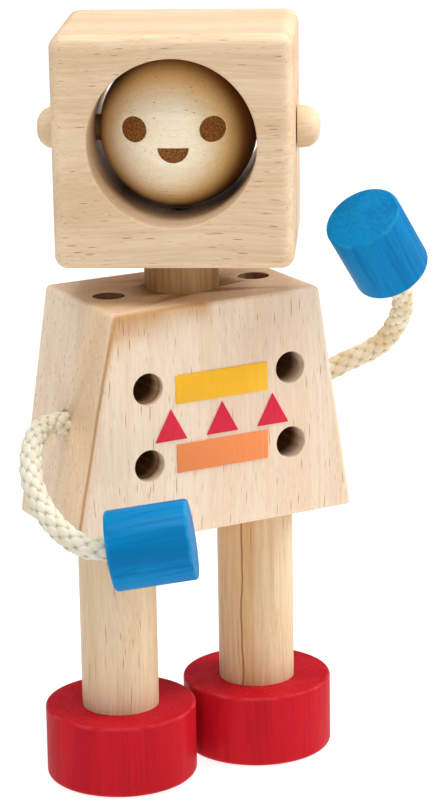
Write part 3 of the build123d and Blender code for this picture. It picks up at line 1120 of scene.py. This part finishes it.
# the window's wall darkens deeper in with painted shade
head_wood = wood_material(
    "head_wood", head_frame, 41.0, (head_height / 2, head_depth / 2, head_width / 2),
    edge_width=6.0 * MM, depths=(8.0 * MM, 23.0 * MM),
    **{"Pores": 1.0, "Pore Length": 13.0, "Pale": (0.76, 0.58, 0.39, 1), "Warm": (0.67, 0.47, 0.29, 1)},
)
carved_piece("head", "head", "head_block", [head_wood])

ball_radius = 24.2 * MM
ball_middle = Vector((0, 0, face_height))
ball_frame = grain_frame(ball_middle, head_side, across=head_front)
# the ball's darker ring towards its rim is painted shade from the window, and it turns with the ball
ball_wood = wood_material(
    "ball_wood", ball_frame, 47.0, shade_ring_radius=ball_radius,
    **{"Pores": 0.45, "Pore Length": 9.0, "Pale": (0.96, 0.85, 0.66, 1), "Warm": (0.90, 0.76, 0.54, 1)},
)
burnt, tree, shader = new_material("burnt_wood")
place = vector_math(tree, "MULTIPLY", object_place(tree), (1000.0, 1000.0, 1000.0))
mottle = noise(tree, place, 2.2, 3.0)
brown = mix(tree, fade(tree, mottle, 0.35, 0.68), (0.13, 0.040, 0.008, 1), (0.32, 0.13, 0.028, 1))
fill(tree, shader, {"Base Color": brown, "Roughness": 0.75, "Specular IOR Level": 0.1})
fill(tree, shader, {"Normal": bumps(tree, mottle, 0.6, 0.12 * MM)})

axle_radius = 4.0 * MM


def ball_face_kind(face):
    """1 for the engraved eyes and mouth, 0 for the ball."""
    place = face.center - ball_middle
    from_axle = (place - head_side * place.dot(head_side)).length
    return int(place.length < ball_radius - 0.1 * MM and from_axle > axle_radius + 0.2 * MM)


carved_piece("ball", "face", "face_ball", [ball_wood, burnt], ball_face_kind)

axle_half = 41.5 * MM
# the axle's dark colours are painted shade: it shows only in the window's shadow
axle_shaded_wood = wood_material(
    "axle_shaded_wood", grain_frame(ball_middle, head_side), 51.0, (axle_radius, axle_half),
    **{"Pore Length": 40.0, "Pale": (0.26, 0.14, 0.06, 1), "Warm": (0.18, 0.09, 0.04, 1)},
)
turn_piece(
    "axle", "face", "face_axle", "dowel_wood",
    grain_frame(ball_middle - head_side * axle_half, head_side), axle_shaded_wood,
    **{"Radius": axle_radius, "Height": 2 * axle_half, "Base Edge": 0.4 * MM, "Rim Edge": 0.4 * MM},
)

# %% [markdown]
# ## Ears
# The ear knobs close the ends of the axle. They are turned with a deep dome, and bored from
# their flat side.

# %% Turn the ears
ear_height = 7.0 * MM
ear_gap = 0.3 * MM
ear_reach = head_width / 2 + ear_gap
for seed, (side, sign) in enumerate((("left", 1), ("right", -1))):
    out = head_side * sign
    tip = ball_middle + out * (ear_reach + ear_height)
    ear_wood = wood_material(
        f"{side}_ear_wood", grain_frame(tip, out), 55.0 + seed,
        **{"Pores": 0.5, "Pore Length": 10.0, "Pale": (0.80, 0.62, 0.41, 1), "Warm": (0.72, 0.52, 0.31, 1)},
    )
    turn_piece(
        f"{side}_ear", "face", f"{side}_ear_knob", "head_wood", grain_frame(tip, -out), ear_wood,
        **{
            "Radius": 6.5 * MM, "Height": ear_height, "Base Edge": 5.2 * MM, "Rim Edge": 0.2 * MM,
            "Bore Radius": axle_radius + glue_gap, "Bore Depth": 5.0 * MM, "Mouth Edge": 0.1 * MM,
        },
    )

# %% [markdown]
# ## The hidden screw
# One screw holds the head down on the neck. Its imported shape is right, so it stays, in blackened steel.

# %% Give the screw its metal
steel, tree, shader = new_material("blackened_steel")
place = vector_math(tree, "MULTIPLY", object_place(tree), (1000.0, 1000.0, 6000.0))
brushing = noise(tree, place, 2.0, 3.0)
dark_metal = mix(tree, brushing, (0.035, 0.033, 0.032, 1), (0.075, 0.072, 0.070, 1))
polish = fade(tree, brushing, 0.2, 0.8, 0.42, 0.60)
fill(tree, shader, {"Base Color": dark_metal, "Roughness": polish, "Metallic": 1.0})
screw = bpy.data.objects["neck_screw"]
if not screw.material_slots:
    screw.data.materials.append(steel)
for slot in screw.material_slots:
    slot.material = steel

# %% [markdown]
# ## Studio
# The light is soft and comes from all round, with a stronger panel above and to the robot's left,
# and a pale floor that throws light back up. The sky is a plain white backdrop for the camera. As a
# light it is dim at the horizon and brighter overhead, so the panels can shape the robot.

# %% Light the robot
floor_mesh = bpy.data.meshes.new("studio_floor")
work = bmesh.new()
bmesh.ops.create_grid(work, x_segments=1, y_segments=1, size=4.0)
work.to_mesh(floor_mesh)
work.free()
studio_floor = bpy.data.objects.new("studio_floor", floor_mesh)
bpy.context.scene.collection.objects.link(studio_floor)
studio_floor.location.z = -0.0002
pale, tree, shader = new_material("pale_floor")
fill(tree, shader, {"Base Color": (0.35, 0.35, 0.35, 1), "Roughness": 0.9, "Specular IOR Level": 0.1})
fill(tree, shader, {"Emission Color": (1, 1, 1, 1), "Emission Strength": 0.81})
floor_mesh.materials.append(pale)


def add_panel(name, place, size, power):
    """A soft square white light that faces the robot's middle."""
    lamp = bpy.data.lights.new(name, "AREA")
    lamp.size = size
    lamp.energy = power
    panel = bpy.data.objects.new(name, lamp)
    bpy.context.scene.collection.objects.link(panel)
    panel.location = place
    aim = Vector((0, 0, 0.12)) - Vector(place)
    panel.rotation_euler = aim.to_track_quat("-Z", "Y").to_euler()


add_panel("key_panel", (0.95, -0.30, 0.75), 0.6, 10.0)
add_panel("top_panel", (-0.15, -0.15, 1.3), 0.8, 10.0)
add_panel("front_panel", (-0.35, -1.15, 0.55), 0.5, 2.2)

world = bpy.data.worlds.new("studio")
world.use_nodes = True
bpy.context.scene.world = world
tree = world.node_tree
tree.nodes.clear()
seen = add_node(tree, "ShaderNodeLightPath").outputs["Is Camera Ray"]
height = parts(tree, add_node(tree, "ShaderNodeTexCoord").outputs["Generated"])[2]
glow = fade(tree, height, -0.1, 0.9, 0.16, 0.58)
strength = math(tree, "MAXIMUM", seen, glow)
sky = add_node(tree, "ShaderNodeBackground", {"Color": (1, 1, 1, 1), "Strength": strength})
add_node(tree, "ShaderNodeOutputWorld", {"Surface": sky.outputs[0]})
